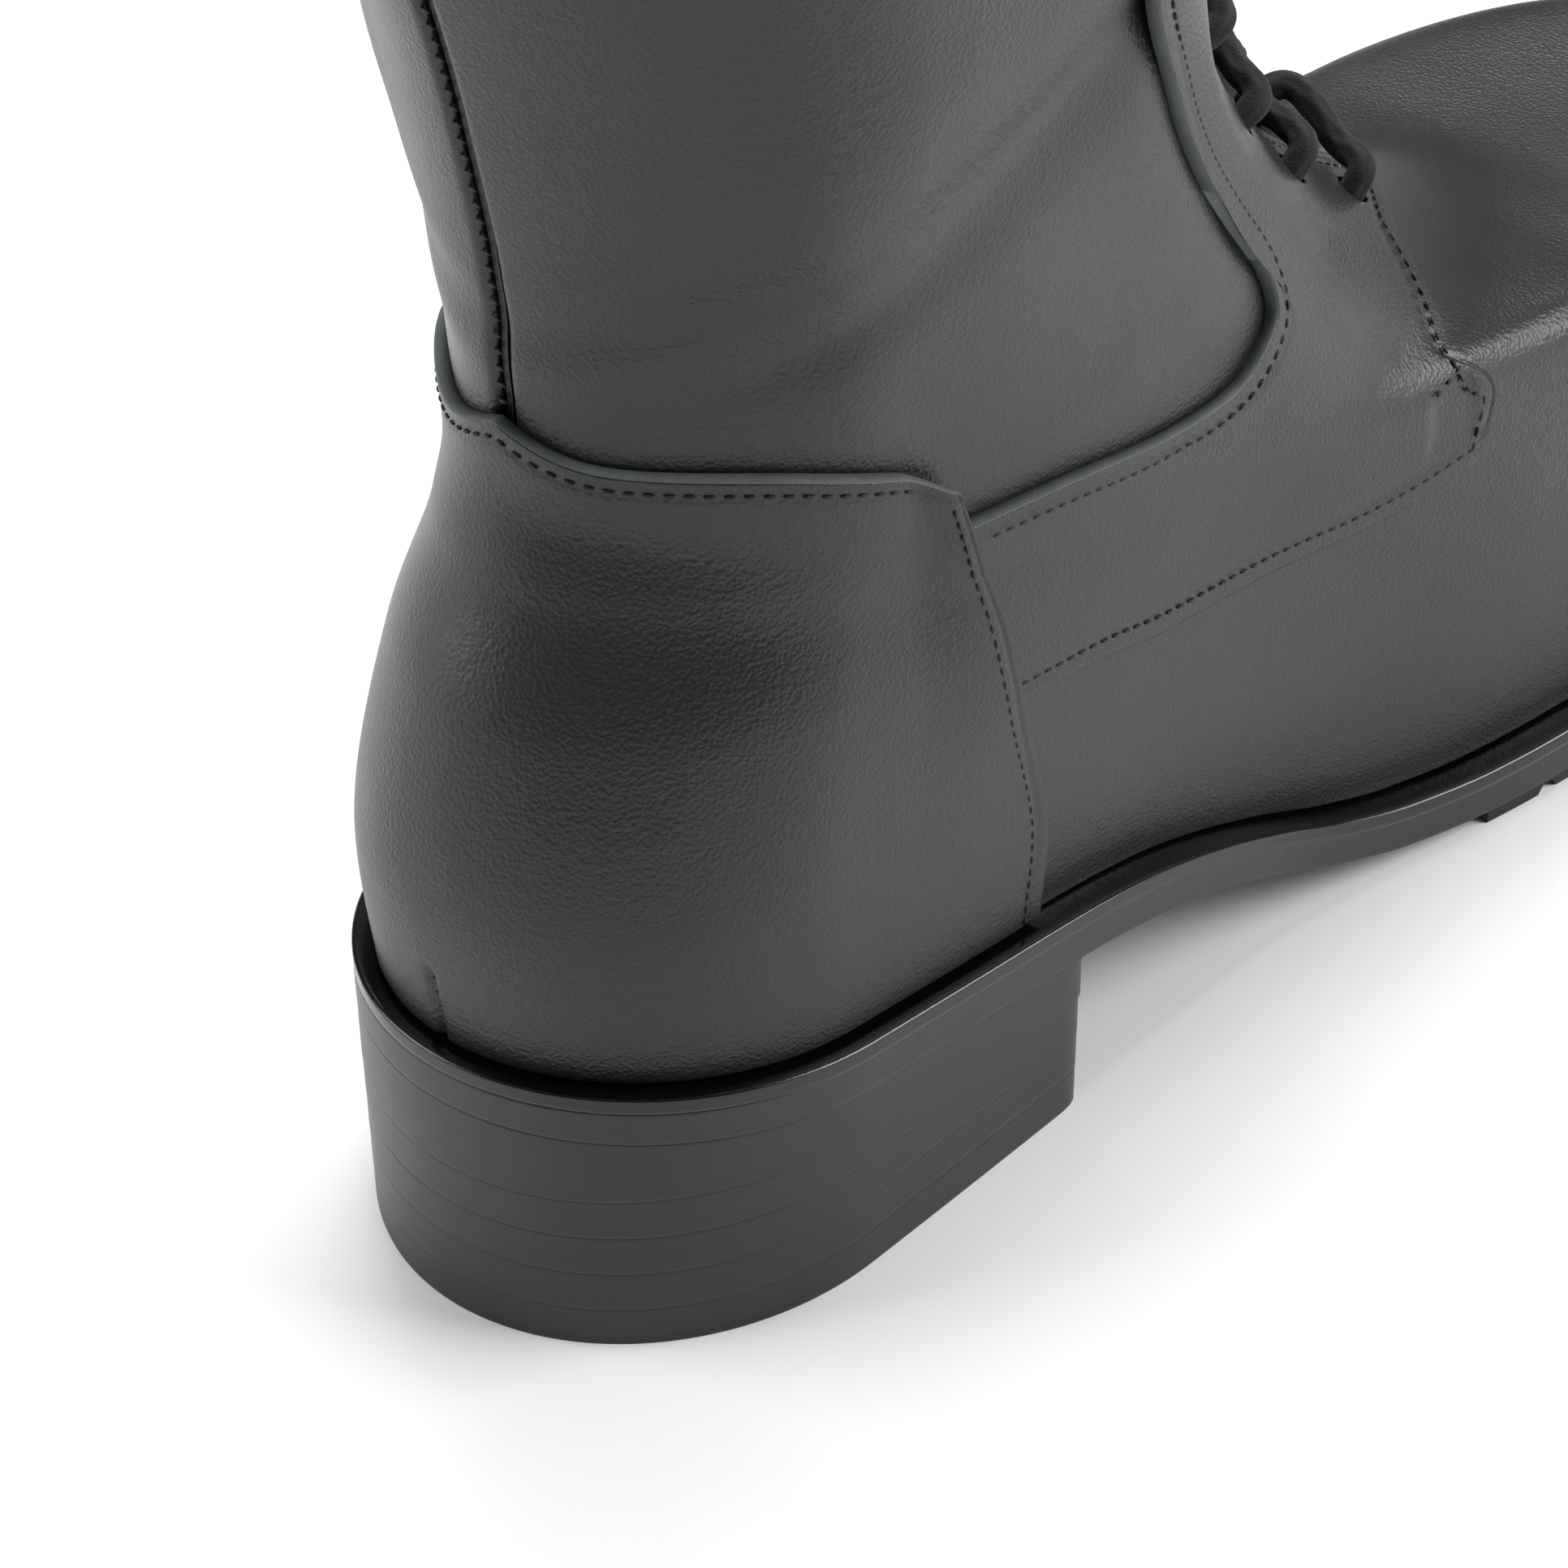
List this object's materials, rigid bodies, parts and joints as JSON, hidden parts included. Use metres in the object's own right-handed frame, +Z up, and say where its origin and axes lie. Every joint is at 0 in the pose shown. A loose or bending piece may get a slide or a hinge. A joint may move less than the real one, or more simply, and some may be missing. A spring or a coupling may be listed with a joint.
{
  "type": "lace-up leather boot",
  "caption": "Right black leather lace-up boot with a derby front, an outside heel counter, a stacked block heel and a rubber forefoot tread, tied in a bow.",
  "frame": {"origin": "middle of the boot's box, on the ground", "axes": "+X to the toe, +Y to the inner side of the foot, +Z up"},
  "size_m": [0.3138, 0.1054, 0.2652],
  "materials": {
    "upper_leather": "smooth black full-grain leather, satin",
    "lining_leather": "natural tan lining leather, matt",
    "sole_leather": "stacked sole leather, dyed dark and burnished",
    "sole_rubber": "moulded black rubber, matt",
    "fibreboard": "pressed fibre board",
    "stay_cloth": "woven reinforcing tape",
    "cork": "granulated cork",
    "spring_steel": "tempered strip",
    "eyelet_brass": "blackened brass",
    "lace_yarn": "braided round lace, matt black",
    "aglet_plastic": "clear-coated black tip"
  },
  "bodies": {
    "boot": {"outside_counter": "upper_leather", "right_facing": "upper_leather", "left_facing": "upper_leather", "right_quarter": "upper_leather", "left_quarter": "upper_leather", "vamp": "upper_leather", "quarter_lining": "lining_leather", "vamp_lining": "lining_leather", "footbed": "lining_leather", "heel_lift_1": "sole_leather", "heel_lift_2": "sole_leather", "heel_lift_3": "sole_leather", "heel_seat_wedge": "sole_leather", "outsole": "sole_leather", "welt": "sole_leather", "top_piece": "sole_rubber", "forefoot_tread": "sole_rubber", "insole": "fibreboard", "seat_board": "fibreboard", "heel_stiffener": "fibreboard", "toe_puff": "fibreboard", "right_eyelet_stay": "stay_cloth", "left_eyelet_stay": "stay_cloth", "forefoot_filler": "cork", "shank": "spring_steel", "right_eyelet_1": "eyelet_brass", "right_eyelet_2": "eyelet_brass", "right_eyelet_3": "eyelet_brass", "right_eyelet_4": "eyelet_brass", "right_eyelet_5": "eyelet_brass", "right_eyelet_6": "eyelet_brass", "right_eyelet_7": "eyelet_brass", "right_eyelet_8": "eyelet_brass", "right_eyelet_9": "eyelet_brass", "right_eyelet_10": "eyelet_brass", "left_eyelet_1": "eyelet_brass", "left_eyelet_2": "eyelet_brass", "left_eyelet_3": "eyelet_brass", "left_eyelet_4": "eyelet_brass", "left_eyelet_5": "eyelet_brass", "left_eyelet_6": "eyelet_brass", "left_eyelet_7": "eyelet_brass", "left_eyelet_8": "eyelet_brass", "left_eyelet_9": "eyelet_brass", "left_eyelet_10": "eyelet_brass", "lace": "lace_yarn", "bow_knot": "lace_yarn", "bow_loop_right": "lace_yarn", "lace_tail_right": "lace_yarn", "bow_loop_left": "lace_yarn", "lace_tail_left": "lace_yarn", "aglet_right": "aglet_plastic", "aglet_left": "aglet_plastic"},
    "tongue": {"tongue": "upper_leather", "tongue_lining": "lining_leather"}
  },
  "joints": [
    {"name": "tongue_tilt", "type": "hinge", "parent": "boot", "child": "tongue", "pos_m": [0.03996, 0.00056, 0.07483], "axis": [0, 1, 0], "range_deg": [-12, 0]}
  ]
}
